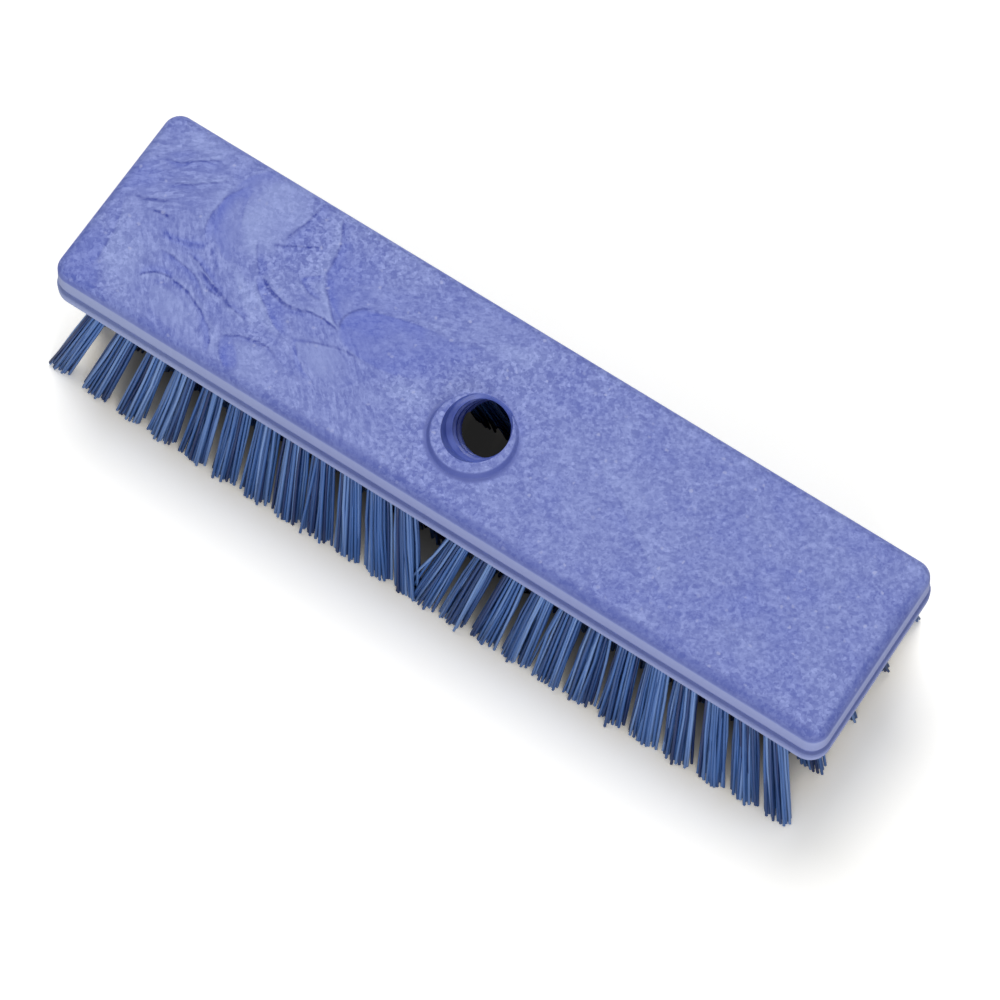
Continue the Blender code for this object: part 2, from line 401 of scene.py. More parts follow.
@dataclass(frozen=True)
class FoamedPolypropylene(Finish):
    """Structural-foam moulded polypropylene.

    The gas in the melt breaks through the skin, which gives a matt surface with a blocky grain of
    pale and dark specks about a millimetre wide. Near the gate the cooling melt froze in tongues
    and streaks, which stay as marbling: a thin dark seam where two sheets met and a change of
    tone beside it. The rounded edge, the collar's side and the drafted sides froze first and are
    smoother. Shade is painted into the colour as a deeper blue on the near rounded edge and on
    the collar's near side and foot, and the sides carry painted shade in the groove and a painted
    sheen on the band, paler towards the left end.
    """

    name: str = "foamed_polypropylene"
    roughness: float = 0.6
    ior: float = 1.49
    # The body: its colours from deep to pale, the clouds in them and the bend of all the marbling.
    tones: Stops = ((0.0, "5e6ec2"), (0.5, "7683c6"), (1.0, "95a3dc"))
    tone_range: float = 2.0
    show_through: float = 0.4
    clouds_per_mm: float = 0.09
    cloud_tone: Ease = (0.3, 0.7, -0.35, 0.35)
    sway: float = 3.2
    sway_size: float = 16.0
    # The seams: where along its half length one fades, and how sharply the tone turns across it.
    seam: str = "4a58a6"
    seam_fade: Point = (0.6, 1.08)
    seam_turn: float = 0.3
    # The grain: clouds (gain and offset), then layers of specks (how much finer, how strong).
    speck: str = "656b7a"
    speck_size: float = 1.25
    grain_clouds: float = 0.6
    grain_level: Point = (1.7, -1.8)
    grain_layers: tuple[Point, ...] = ((1.0, 0.9), (1.75, 1.0))
    grain_floor: float = -0.55
    # The flecks: which of the cells have one, and how far it spreads in its cell.
    fleck: str = "b4bbe4"
    fleck_size: float = 1.2
    fleck_draw: Ease = (0.965, 1.0, 0.0, 0.5)
    fleck_spread: Ease = (0.25, 0.6, 1.0, 0.0)
    ragged_per_mm: float = 0.9
    # The sides' colours by height, painted shade on the lip's upper face and in the groove and a painted
    # sheen on the band, and how they turn paler towards the left end as painted light.
    sides: Stops = ((45.0, "8e99ca"), (46.2, "7682b9"), (49.6, "8b95c8"), (51.5, "8c96c9"), (54.0, "939ecf"))
    side_share: Ease = (54.5, 55.5, 0.92, 0.0)
    pale_left_side: str = "a3b0d6"
    pale_left_share: Ease = (-120.0, -10.0, 0.45, 0.0)
    # The rounded edge: where the flat top ends (at any height), and the strength of its painted shade, a
    # deeper blue, off it and by axis, strongest on the near side and weak at the left end.
    edge: str = "5b68ae"
    flat_half: Triple = (122.2, 26.4, 1000.0)
    edge_shade_off: Ease = (0.0, 2.3, 0.0, 1.0)
    edge_shade_by_axis: tuple[tuple[str, Ease], ...] = (
        ("Z", (54.9, 56.2, 0.0, 1.0)), ("X", (-127.0, -20.0, 0.3, 0.85)), ("Y", (12.0, 26.0, 1.0, 0.1)))
    edge_calm: float = 0.6
    round_calm: Ease = (56.0, 57.8, 0.8, 0.0)
    # The painted shade on the collar's side and foot: its strength over the distance from the collar's axis,
    # and by axis, strongest on its near side.
    collar_centre: Triple = (0.0, -7.1, 0.0)
    collar_shade_rings: tuple[Ease, ...] = ((11.4, 12.0, 0.0, 1.0), (13.1, 14.2, 0.95, 0.0))
    collar_shade_by_axis: tuple[tuple[str, Ease], ...] = (
        ("Y", (-8.0, 3.0, 1.0, 0.0)), ("Z", (57.0, 57.5, 0.0, 1.0)))
    # The pits: how many lie in a millimetre, how deep they are and how strongly they show.
    pits_per_mm: float = 1.1
    pit_depth: float = 0.1
    pit_strength: float = 0.25
    # Where one stretch of the finish ends and the next begins.
    cuts: tuple[float, ...] = (-86.0, -64.0, -30.0)
    patches: tuple[FlowPatch, ...] = (
        FlowPatch((3, 23), 18, 4.0, 25, 0.8, 0.8, blur=3.0, fade=(-0.2, 0.9)),
        FlowPatch((-20, -6), 14, 4.0, 12, 0.7, 0.7, blur=3.0),
        FlowPatch((96, -2), 24, 13, 30, -0.5, -0.5, blur=9.0, fade=(-0.2, 0.9)),
        FlowPatch((45, 2), 26, 9, 32, 0.35, 0.35, blur=7.0, fade=(-0.2, 0.9)),
        FlowPatch((60, -20), 30, 6, 4, -0.35, -0.35, blur=5.0, fade=(-0.2, 0.9)),
        FlowPatch((-110, -17), 15, 6.5, 115, 0.9, 0.9, blur=3.5, fade=(0.2, 1.0)),
        FlowPatch((-129, -27), 17, 22, 200, -0.6, -0.8, 5, 2.5, (0.7, 1.0), 0.35),
        FlowPatch((0, -8), 12, 11, 0, -0.4, -0.4, 2, 1.5, (1.1, 1.3)),
        FlowPatch((-121, 8), 12, 5, 50, -0.6, -0.6, blur=3.0),
        FlowPatch((-115, 18), 7, 3.2, 40, -0.7, -0.7, blur=2.0),
        FlowPatch((-107, 25), 14, 4, 8, 0.5, 0.5, blur=2.5),
        FlowPatch((-48, 15), 13, 16, 56, -1.0, -0.8, 7, 0.8, (-0.6, 0.7), 0.3),
        FlowPatch((-86, 19), 12.5, 16, 180, 0.3, 0.5, 4, 0.6, (-0.5, 0.6), 0.4),
        FlowPatch((-83, 15), 15.2, 17, 4, -0.9, 0.2, 6.5, 0.8, (-0.6, 0.1), 0.5),
        FlowPatch((-80, 18), 11.5, 14, -4, 0.3, 1.1, 2.5, 0.8, (-0.7, 0.5), 0.5),
        FlowPatch((-31, 4), 19, 8.5, 14, -1.0, -1.1, 4, 0.9, (0.0, 1.0), 0.35),
        FlowPatch((-14, 13), 20, 4, 25, -0.5, -0.5, blur=3.0, fade=(0.0, 1.0)),
        FlowPatch((-66, -6), 8, 3.0, 142, -0.8, -0.8, blur=1.8, calm=0.2),
        FlowPatch((-46, -11), 12, 4.6, -10, 0.3, 0.6, 2.8, 0.8, (0.0, 0.9), 0.5),
        FlowPatch((-89, -21), 11, 6.0, -14, 0.5, 0.8, 2.8, 1.2, (0.0, 0.9), 0.3),
        FlowPatch((-60, -24), 14, 7.0, -12, 0.4, 0.6, 4.0, 1.2, (0.0, 0.9), 0.4),
        FlowPatch((-69, -24.5), 6.5, 3.2, -55, -1.4, -1.4, blur=1.6, fade=(0.2, 1.0)),
        FlowPatch((-76, -6.5), 14, 2.0, 142, 0.9, 0.9, blur=1.5, fade=(0.2, 1.0)),
    )
    seams: tuple[FlowLine, ...] = (
        FlowLine((-94, 22), (-98, 10), (-95, 0.5), 0.5, -1.4, 0.5, 4.5),
        FlowLine((-92.4, 21), (-91, 14), (-88.5, 9), 0.2, 0.5, -0.6, 2.5),
        FlowLine((-73.3, 28.5), (-74.0, 21), (-76.5, 12.5), 0.9, -0.7, 0.2, 5.0),
        FlowLine((-66.5, 28.8), (-62.0, 18), (-60.9, 9), 0.7, -0.9, 0.9, 4.5),
        FlowLine((-61.0, 9.5), (-56, 4.6), (-48.7, -1.2), 0.6, -1.1, 1.2, 4.0),
        FlowLine((-76.0, 1.0), (-67.5, -2.5), (-58, -1.4), 1.3, 0.6, -0.8, 4.0, 0.85),
        FlowLine((-61, -1.7), (-54.5, -0.9), (-48.3, -1.4), 1.2, 0.7, -0.5, 3.0),
        FlowLine((-48.2, -2.0), (-49.2, 2.5), (-43.5, 8.4), 0.9, 0.3, -0.8, 6.0),
        FlowLine((-45.5, 7.4), (-38, 10.4), (-28, 12.6), 0.3, 0.2, -0.6, 5.0),
        FlowLine((-83.0, 9.0), (-79.0, 3.4), (-75.6, -0.6), 0.6, -0.7, 0.5, 4.0),
        FlowLine((-77, -0.5), (-69.5, -6.4), (-60, -11.5), 0.3, -1.0, 1.3, 3.5),
        FlowLine((-66.8, 5.6), (-64.2, 8.2), (-61.0, 10.0), 0.3, 0.3, -1.2, 2.6),
        FlowLine((-66.4, 6.2), (-63.0, 4.0), (-57.5, 3.3), 0.45, -1.1, 0.5, 2.6),
        FlowLine((-91, -7.6), (-84, -9.6), (-77, -12.2), 1.1, 0.9, -1.4, 2.6, 1.1),
        FlowLine((-87, -10.8), (-80, -11.4), (-71, -13.4), 0.8, -1.0, 1.1, 2.6),
        FlowLine((-97, -4.6), (-89, -7.0), (-80, -11.4), 0.7, -1.2, 1.2, 2.8),
        FlowLine((-104.2, -19), (-101.6, -15.2), (-95, -14.2), 1.0, -1.2, 1.2, 3.0),
        FlowLine((-97, -14.2), (-90, -15.0), (-81, -18.6), 1.0, 1.0, -1.1, 2.6),
        FlowLine((-100, -16.6), (-93, -17.0), (-84, -20.4), 0.15, -1.0, -0.9, 1.3),
        FlowLine((-82, -18.2), (-77.6, -21.6), (-75, -27), 0.6, 0.8, -1.3, 3.0),
        FlowLine((-104, -8.5), (-94, -9.0), (-84, -14.5), 0.6, 1.1, -0.9, 2.8),
        FlowLine((-57.4, -10.4), (-48, -6.3), (-37, -5.5), 0.8, 0.2, 0.3, 2.6),
        FlowLine((-57.0, -9.4), (-54.4, -13.2), (-46, -17.2), 0.25, 0.6, -1.0, 2.0),
        FlowLine((-57.6, -10.4), (-55.2, -8.7), (-52.4, -7.4), 0.4, -0.4, -1.6, 1.5),
        FlowLine((-74.4, -21), (-68.5, -17.2), (-57.5, -18.4), 0.9, 0.2, -0.7, 2.4),
        FlowLine((-74.2, -20.2), (-72.6, -24.4), (-68, -28.5), 0.3, -1.0, 0.4, 3.5),
        FlowLine((-106.4, -3.6), (-100, -3.0), (-93.6, -0.2), 0.5, -1.7, -1.6, 1.9),
        FlowLine((-92.8, 1.4), (-90.0, -2.4), (-86, -4.2), 0.35, -0.9, -0.6, 1.8),
        FlowLine((-121.0, 0), (-117.6, -11), (-115.8, -24), 0.3, 0.5, -0.6, 5.5),
        FlowLine((-119.4, 1.2), (-115, 3.0), (-110, 5.2), 0.9, 0.0, 0.0, 2.0, 0.9),
        FlowLine((-112.6, 0.4), (-109.8, 1.2), (-106.8, 1.2), 1.1, 0.0, 0.0, 2.0, 1.0),
        FlowLine((-114, 9.4), (-107, 13.0), (-99, 20.5), 0.7, 0.9, -0.7, 2.8),
        FlowLine((-119, 14.6), (-112, 18.2), (-104, 25), 0.7, 0.8, -0.7, 2.8),
        FlowLine((-78.6, 9.8), (-72, 13.3), (-66.0, 17.4), 1.0, -0.5, -0.6, 1.4),
        FlowLine((28, 8), (50, -5), (72, -20), 0.2, 0.25, -0.35, 5.0),
    )
    streaks: tuple[FlowStreaks, ...] = (
        FlowStreaks((70, 0), 85, 60, 31, 0.4, 1.9, 1.2),
        FlowStreaks((-30, 14), 45, 14, 28, 0.5, 2.8, 1.0),
        FlowStreaks((-40, -16), 36, 18, -40, 0.6, 3.0, 1.0),
        FlowStreaks((-92, -12), 36, 24, -52, 0.65, 3.0, 1.1),
        FlowStreaks((-114, 14), 27, 18, 36, 0.7, 3.2, 1.2),
    )

    def stretches(self) -> list["FoamedPolypropylene"]:
        """Split the finish along the head, since one shader can't hold all of the marbling.

        Returns:
            The finish of each stretch between the cuts, with only the marbling that reaches it.
        """
        ends = (-math.inf, *self.cuts, math.inf)
        parts = []
        for low, high in zip(ends, ends[1:]):
            chosen = {
                name: tuple(s for s in getattr(self, name) if s.span()[0] < high and s.span()[1] > low)
                for name in ("patches", "seams", "streaks")}
            parts.append(replace(self, **chosen))
        return parts

    def fill(self, nodes: Nodes) -> None:
        """Add the finish's own nodes.

        Args:
            nodes: The nodes of a new material.
        """
        drawing = SkinDrawing(self, nodes)
        nodes.feed("Principled BSDF", {
            "Base Color": drawing.colour(), "Normal": drawing.relief(),
            "Roughness": self.roughness, "IOR": self.ior})


class SkinDrawing:
    """The drawing of one stretch of the head's skin, node by node."""

    def __init__(self, finish: FoamedPolypropylene, nodes: Nodes) -> None:
        """Find the shaded point and its bent place on the top.

        Args:
            finish: The finish of the stretch.
            nodes: The nodes of its material.
        """
        self.finish = finish
        self.nodes = nodes
        self.add = nodes.add
        self.spot = nodes.point()
        self.flat = self.swayed()
        self.tone: Socket | float = 0.0
        self.seam: Socket | float = 0.0
        self.calm: Socket | float = 0.0

    def colour(self) -> Socket:
        """Colour the skin: marbling, then the sides' painted shade and sheen and the painted shade on the
        rounded edge and the collar, then grain and flecks.

        Returns:
            The colour as an output.
        """
        finish = self.finish
        for patch in finish.patches:
            self.lay_patch(patch)
        for line in finish.seams:
            self.lay_line(line)
        grain = self.drawn_grain()
        clouds = self.add("TexNoise", {"Vector": self.spot, "Scale": finish.clouds_per_mm, "Detail": 2.0})
        broad = self.add("MapRange", [clouds["Fac"], *finish.cloud_tone], **EASED)[0]
        mixed = self.add("Math", [self.tone, broad], operation="ADD")[0]
        level = self.add("MapRange", [mixed, -finish.tone_range, finish.tone_range])[0]
        colour = self.nodes.tint(level, finish.tones)
        parts = self.add("SeparateXYZ", [self.spot])
        below = self.add("MapRange", [parts["Z"], *finish.side_share], **EASED)[0]
        rounded, collar = self.rounded_edge(parts), self.collar_side(parts)
        # The sides' colour is painted shade and sheen, and the edge's deeper blue on the rounded edge and the
        # collar is painted shade.
        layers = (
            (self.seam, linear(finish.seam)), (below, self.side_colour(parts)),
            (rounded, linear(finish.edge)), (collar, linear(finish.edge)))
        for share, over in layers:
            colour = self.add("Mix", {"Factor": share, "A": colour, "B": over}, data_type="RGBA")[2]
        rough = self.grain_share(below, rounded, collar, parts["Z"])
        shown = self.add("Math", [grain, rough], operation="MULTIPLY")[0]
        light = self.add("VectorMath", {0: linear(finish.speck)[:3], "Scale": shown}, operation="SCALE")[0]
        grained = self.add("VectorMath", [colour, light], operation="ADD")[0]
        flecks = self.add("Math", [self.flecks(), rough], operation="MULTIPLY")[0]
        return self.add(
            "Mix", {"Factor": flecks, "A": grained, "B": linear(finish.fleck)}, data_type="RGBA")[2]

    def swayed(self) -> Socket:
        """Bend the top's plan a little, so that no seam is a true arc.

        Returns:
            The bent point on the top, in millimetres with a height of nought.
        """
        finish = self.finish
        sway = self.add("TexNoise", {
            "Vector": self.spot, "Scale": 1 / finish.sway_size, "Detail": 3.0, "Roughness": 0.6})["Color"]
        centred = self.add("VectorMath", [sway, (0.5, 0.5, 0.5)], operation="SUBTRACT")[0]
        pushed = self.add("VectorMath", [centred, (finish.sway,) * 3, self.spot], operation="MULTIPLY_ADD")[0]
        return self.add("VectorMath", [pushed, IN_PLAN], operation="MULTIPLY")[0]

    def own_axes(self, centre: Point, heading: float, reach: float = 1.0, breadth: float = 1.0) -> Socket:
        """Find the bent point in a shape's own axes.

        Args:
            centre: The shape's centre.
            heading: Its heading in radians.
            reach: The length along the heading that counts as 1.
            breadth: The length across the heading that counts as 1.

        Returns:
            The point along and across the heading, as an output.
        """
        inputs = [self.flat, (*centre, 0.0), (0.0, 0.0, heading), (reach, breadth, 1.0)]
        return self.add("Mapping", inputs, vector_type="TEXTURE")[0]

    def lay_patch(self, patch: FlowPatch) -> None:
        """Lay one patch over the tone and the calm so far.

        Args:
            patch: The patch.
        """
        place = self.own_axes(patch.centre, math.radians(patch.heading), patch.reach, patch.breadth)
        along = self.add("SeparateXYZ", [place])["X"]
        out = self.add("VectorMath", [place], operation="LENGTH")["Value"]
        size = min(patch.reach, patch.breadth)
        behind = self.add("Math", [out, -size, size], operation="MULTIPLY_ADD")[0]
        inside = self.add("MapRange", [behind, 0.0, patch.blur], **EASED)[0]
        kept = self.add("MapRange", [along, *patch.fade, 1.0, 0.0], **EASED)[0]
        cover = self.add("Math", [inside, kept], operation="MULTIPLY")[0]
        own = self.add("MapRange", [behind, 0.0, patch.depth, patch.front_tone, patch.body_tone], **EASED)[0]
        own = self.add("Math", [self.tone, self.finish.show_through, own], operation="MULTIPLY_ADD")[0]
        self.tone = self.add("Mix", {"Factor": cover, "A": self.tone, "B": own})[0]
        if patch.calm:
            self.calm = self.add("Mix", {"Factor": cover, "A": self.calm, "B": patch.calm})[0]

    def lay_line(self, line: FlowLine) -> None:
        """Draw one seam into the seams so far, and its two sides into the tone.

        Args:
            line: The seam.
        """
        centre, radius, heading, half, sign = line.circle()
        fade_start, fade_end = (share * half for share in self.finish.seam_fade)
        turn = self.finish.seam_turn
        place = self.own_axes(centre, heading)
        parts = self.add("SeparateXYZ", [place])
        out = self.add("VectorMath", [place], operation="LENGTH")["Value"]
        lean = self.add("Math", [out, sign, -sign * radius], operation="MULTIPLY_ADD")[0]
        off = self.add("Math", [lean], operation="ABSOLUTE")[0]
        beyond = self.add("Math", [parts["Y"]], operation="ABSOLUTE")[0]
        kept = self.add("MapRange", [beyond, fade_start, fade_end, 1.0, 0.0], **EASED)[0]
        near = self.add("Math", [parts["X"], 0.0], operation="GREATER_THAN")[0]
        kept = self.add("Math", [kept, near], operation="MULTIPLY")[0]
        thin = self.add("MapRange", [off, 0.0, line.width, line.dark, 0.0], **EASED)[0]
        thin = self.add("Math", [thin, kept], operation="MULTIPLY")[0]
        self.seam = self.add("Math", [self.seam, thin], operation="MAXIMUM")[0]
        side = self.add("MapRange", [lean, -turn, turn, line.right, line.left], **EASED)[0]
        fade = self.add("MapRange", [off, 0.0, line.depth, 1.0, 0.0], **EASED)[0]
        fade = self.add("Math", [fade, kept], operation="MULTIPLY")[0]
        self.tone = self.add("Math", [side, fade, self.tone], operation="MULTIPLY_ADD")[0]

    def grains(self, place: Socket, per_unit: float) -> Socket:
        """Draw specks of two sizes and clouds, light and dark.

        The finer specks are really about 0.3 mm wide, and are drawn coarser so that they show.

        Args:
            place: The point to read, in the lengths that the specks are counted in.
            per_unit: Specks in one length.

        Returns:
            The grain, from about -0.5 to 1, as an output.
        """
        finish = self.finish
        grain = self.add("TexNoise", {
            "Vector": place, "Scale": finish.grain_clouds * per_unit, "Detail": 2.0, "Roughness": 0.8})["Fac"]
        grain = self.add("Math", [grain, *finish.grain_level], operation="MULTIPLY_ADD")[0]
        for finer, strength in finish.grain_layers:
            cells = self.add("TexVoronoi", {"Vector": place, "Scale": finer * per_unit})["Color"]
            speck = self.add("SeparateColor", [cells])[0]
            grain = self.add("Math", [speck, strength, grain], operation="MULTIPLY_ADD")[0]
        return self.add("Math", [grain, finish.grain_floor], operation="MAXIMUM")[0]

    def drawn_grain(self) -> Socket:
        """Draw the even grain, drawn out into streaks in some parts of the top.

        Returns:
            The grain as an output.
        """
        grain = self.grains(self.spot, 1 / self.finish.speck_size)
        for streaks in self.finish.streaks:
            heading = math.radians(streaks.heading)
            place = self.own_axes(streaks.centre, heading, streaks.reach, streaks.breadth)
            out = self.add("VectorMath", [place], operation="LENGTH")["Value"]
            within = self.add("MapRange", [out, streaks.full, streaks.rim, streaks.share, 0.0], **EASED)[0]
            drawn = self.grains(self.own_axes(streaks.centre, heading, streaks.length, streaks.width), 1.0)
            grain = self.add("Mix", {"Factor": within, "A": grain, "B": drawn})[0]
        return grain

    def side_colour(self, parts: bpy.types.NodeOutputs) -> Socket:
        """Colour the sides from the lip up to the rounded edge, with painted shade in the groove, a painted
        sheen on the band and painted light paler towards the left end.

        Args:
            parts: The three parts of the shaded point.

        Returns:
            The colour as an output.
        """
        finish = self.finish
        low, high = finish.sides[0][0], finish.sides[-1][0]
        level = self.add("MapRange", [parts["Z"], low, high])[0]
        stops = tuple(((at - low) / (high - low), shade) for at, shade in finish.sides)
        colour = self.nodes.tint(level, stops)
        share = self.add("MapRange", [parts["X"], *finish.pale_left_share], **EASED)[0]
        return self.add(
            "Mix", {"Factor": share, "A": colour, "B": linear(finish.pale_left_side)}, data_type="RGBA")[2]

    def together(self, eases: list[tuple[Socket, Ease]]) -> Socket:
        """Multiply eased values.

        Args:
            eases: Each value with its ease.

        Returns:
            The product as an output.
        """
        eased = [self.add("MapRange", [value, *ease], **EASED)[0] for value, ease in eases]
        product = eased[0]
        for factor in eased[1:]:
            product = self.add("Math", [product, factor], operation="MULTIPLY")[0]
        return product

    def rounded_edge(self, parts: bpy.types.NodeOutputs) -> Socket:
        """Find where the top rolls over into the near side and the right end, for the painted shade there.

        Args:
            parts: The three parts of the shaded point.

        Returns:
            The strength of the painted shade, the edge's deeper blue, as an output.
        """
        off = self.nodes.outside(self.spot, self.finish.flat_half)
        by_axis = [(parts[axis], ease) for axis, ease in self.finish.edge_shade_by_axis]
        return self.together([(off, self.finish.edge_shade_off), *by_axis])

    def collar_side(self, parts: bpy.types.NodeOutputs) -> Socket:
        """Find the collar's side and foot, where they stand highest, for the painted shade on their near
        side.

        Args:
            parts: The three parts of the shaded point.

        Returns:
            The strength of the painted shade, the edge's deeper blue, as an output.
        """
        off = self.add("VectorMath", [self.spot, self.finish.collar_centre], operation="SUBTRACT")[0]
        off = self.add("VectorMath", [off, IN_PLAN], operation="MULTIPLY")[0]
        out = self.add("VectorMath", [off], operation="LENGTH")["Value"]
        by_axis = [(parts[axis], ease) for axis, ease in self.finish.collar_shade_by_axis]
        return self.together([*((out, ring) for ring in self.finish.collar_shade_rings), *by_axis])

    def grain_share(self, below: Socket, rounded: Socket, collar: Socket, height: Socket) -> Socket:
        """Find how much of the grain shows, which is little where the skin froze first.

        Args:
            below: The share of the sides' colour.
            rounded: The strength of the painted shade on the rounded edge.
            collar: The strength of the painted shade on the collar's side.
            height: The height of the shaded point.

        Returns:
            The share that shows, as an output.
        """
        finish = self.finish
        rolled = self.add("MapRange", [height, *finish.round_calm], **EASED)[0]
        evened = self.add("Math", [rounded, finish.edge_calm], operation="MULTIPLY")[0]
        smooth = below
        for part in (self.calm, evened, collar, rolled):
            smooth = self.add("Math", [smooth, part], operation="MAXIMUM")[0]
        return self.add("Math", [1.0, smooth], operation="SUBTRACT")[0]

    def flecks(self) -> Socket:
        """Draw the few pale flecks where gas broke through, ragged and about a millimetre wide.

        Returns:
            Their strength as an output.
        """
        finish = self.finish
        ragged = self.add("TexNoise", {"Vector": self.spot, "Scale": finish.ragged_per_mm, "Detail": 1.0})
        place = self.add("VectorMath", [ragged["Color"], self.spot], operation="ADD")[0]
        cells = self.add("TexVoronoi", {"Vector": place, "Scale": 1 / finish.fleck_size})
        draw = self.add("SeparateColor", [cells["Color"]])[0]
        return self.together([(draw, finish.fleck_draw), (cells["Distance"], finish.fleck_spread)])

    def relief(self) -> Socket:
        """Give the skin its slight pits.

        Returns:
            The normal as an output.
        """
        finish = self.finish
        pits = self.add("TexNoise", {"Vector": self.spot, "Scale": finish.pits_per_mm, "Detail": 2.0})["Fac"]
        inputs = {"Height": pits, "Strength": finish.pit_strength, "Distance": finish.pit_depth * MM}
        return self.add("Bump", inputs)[0]


@dataclass(frozen=True)
class SocketSkinWithPaintedShade(Finish):
    """The same polypropylene where the steel core pins formed the socket.

    The pins chill the melt, so the skin there is dense, smooth and faintly glossy. Its deeper
    blue is painted shade inside the socket.
    """

    name: str = "core_pin_polypropylene"
    # Deeper blues: painted shade on the socket's wall.
    tones: Stops = ((0.3, "4e60b2"), (0.7, "6374c3"))
    cloud_size: float = 4.0
    roughness: float = 0.42
    ior: float = 1.49

    def fill(self, nodes: Nodes) -> None:
        """Add the finish's own nodes.

        Args:
            nodes: The nodes of a new material.
        """
        inputs = {"Vector": nodes.point(), "Scale": 1 / self.cloud_size, "Detail": 3.0}
        colour = nodes.tint(nodes.add("TexNoise", inputs)["Fac"], self.tones)
        nodes.feed("Principled BSDF", {"Base Color": colour, "Roughness": self.roughness, "IOR": self.ior})


@dataclass(frozen=True)
class DrawnFilament(Finish):
    """Drawn polypropylene monofilament.

    The draw leaves it smooth and slightly glossy along its length. Each strand has its own tone,
    partly the dye taken a little differently and partly painted shade and highlight, from a dark
    navy to a pale blue, so that neighbours show apart.
    """

    name: str = "drawn_polypropylene_filament"
    # From dark navy to pale blue: random strand tones, partly dye and partly painted shade and highlight.
    tones: Stops = ((0.0, "182f63"), (0.5, "426bae"), (1.0, "7a9bd3"))
    roughness: float = 0.4
    ior: float = 1.45
    tone_attribute: str = "strand_tone"

    def fill(self, nodes: Nodes) -> None:
        """Add the finish's own nodes.

        Args:
            nodes: The nodes of a new material.
        """
        tone = nodes.add("Attribute", attribute_name=self.tone_attribute)["Fac"]
        colour = nodes.tint(tone, self.tones)
        nodes.feed("Principled BSDF", {"Base Color": colour, "Roughness": self.roughness, "IOR": self.ior})


@dataclass(frozen=True)
class PaperSweep(Finish):
    """A sheet of pale backdrop paper: matt, and lifted to white where the camera sees it unshaded.

    The camera sees it brighter than the brush does, with a painted shadow, warm and then dark, under the
    brush, and white far away.
    """

    name: str = "backdrop_paper"
    # From open paper through a warm near tone to dark under the brush: a painted shadow.
    tones: Stops = ((0.0, "f2f1ed"), (0.35, "e9e2d3"), (1.0, "37332e"))
    camera_gain: float = 1.52
    lift: float = 0.08
    shaded_lift: float = 0.014
    painted_shadow_half: Triple = (102.0, 16.0, 0.0)
    painted_shadow_fade: float = 34.0
    white_from: float = 200.0
    white_by: float = 900.0

    def fill(self, nodes: Nodes) -> None:
        """Add the finish's own nodes.

        Args:
            nodes: The nodes of a new material.
        """
        nodes.tree.nodes.remove(nodes.tree.nodes["Principled BSDF"])
        seen = nodes.add("LightPath")["Is Camera Ray"]
        out = nodes.outside(nodes.point(), self.painted_shadow_half)
        # Painted shadow: the paper darkens towards the middle under the brush.
        under = nodes.add("MapRange", [out, 0.0, self.painted_shadow_fade, 1.0, 0.0], **EASED)[0]
        colour = nodes.tint(under, self.tones)
        gain = nodes.add("Mix", {"Factor": seen, "A": 1.0, "B": self.camera_gain})[0]
        bright = nodes.add("VectorMath", {0: colour, "Scale": gain}, operation="SCALE")[0]
        matt = nodes.add("BsdfDiffuse", {"Color": bright})[0]
        drop = self.shaded_lift - self.lift
        lifted = nodes.add("Math", [under, drop, self.lift], operation="MULTIPLY_ADD")[0]
        far_away = nodes.add("MapRange", [out, self.white_from, self.white_by], **EASED)[0]
        lifted = nodes.add("Math", [lifted, far_away], operation="ADD")[0]
        strength = nodes.add("Math", [seen, lifted], operation="MULTIPLY")[0]
        glow = nodes.add("Emission", {"Strength": strength})[0]
        nodes.feed("Material Output", {"Surface": nodes.add("AddShader", [matt, glow])[0]})


@dataclass(frozen=True)
class Tuft:
    """One tuft: where its axis leaves the head and where its tips end."""

    root: Vector
    tip: Vector


@dataclass(frozen=True)
class TuftPlan:
    """Where the tufts stand, which the head's holes and the bristles share.

    The tips have taken a set towards -X at the two ends, the tufts half way along each side lean
    out a little less than an even fan, and the corner tufts are drawn in a little. What changes
    only near the ends goes by a high power of the share of the way there.
    """

    trim: float = 43.0 * MM
    columns: int = 12
    rows: int = 5
    first_root_x: float = 10.8 * MM
    last_root_x: float = 109.2 * MM
    first_tip_x: float = 2.4 * MM
    last_tip_x: float = 121.9 * MM
    outer_root_y: float = 24.05 * MM
    outer_tip_y: float = 37.45 * MM
    socket_clearance: float = 12.2 * MM
    socket_exit_y: float = 2.9 * MM
    end_set: Point = (-3.7 * MM, -1.3 * MM)
    root_set: Point = (-2.2 * MM, 0.0)
    sag: float = 1.5 * MM
    corner_draw: float = 2.0 * MM
    far_draw: float = 1.6 * MM
    end_power: int = 8
    corner_power: int = 6

    def column(self, side: Side, number: int) -> list[Tuft]:
        """The tufts of one line across the head.

        Args:
            side: Which end of the head.
            number: The line's number, from 0 next to the middle.

        Returns:
            Its tufts from -Y to +Y, less those that the socket leaves no room for.
        """
        share = number / (self.columns - 1)
        end = share ** self.end_power
        root_x = self.first_root_x + share * (self.last_root_x - self.first_root_x)
        tip_x = self.first_tip_x + share * (self.last_tip_x - self.first_tip_x)
        tip_x -= self.sag * math.sin(math.pi * share)
        at_left = side is Side.LEFT
        tip_set, root_set = (sets[0 if at_left else 1] * end for sets in (self.end_set, self.root_set))
        tufts = []
        for row in range(self.rows):
            across = 2 * row / (self.rows - 1) - 1
            if math.hypot(root_x, across * self.outer_root_y - self.socket_exit_y) < self.socket_clearance:
                continue
            root = Vector((side.value * root_x + root_set, across * self.outer_root_y, self.trim))
            tip_y = across * (self.outer_tip_y - self.corner_draw * share ** self.corner_power)
            drawn = 0.0 if at_left else self.far_draw * end * (across + 1) / 2
            tufts.append(Tuft(root, Vector((side.value * tip_x + tip_set - drawn, tip_y, 0.0))))
        return tufts

    def all_tufts(self) -> list[Tuft]:
        """Every tuft of the brush."""
        return [tuft for side in Side for number in range(self.columns) for tuft in self.column(side, number)]


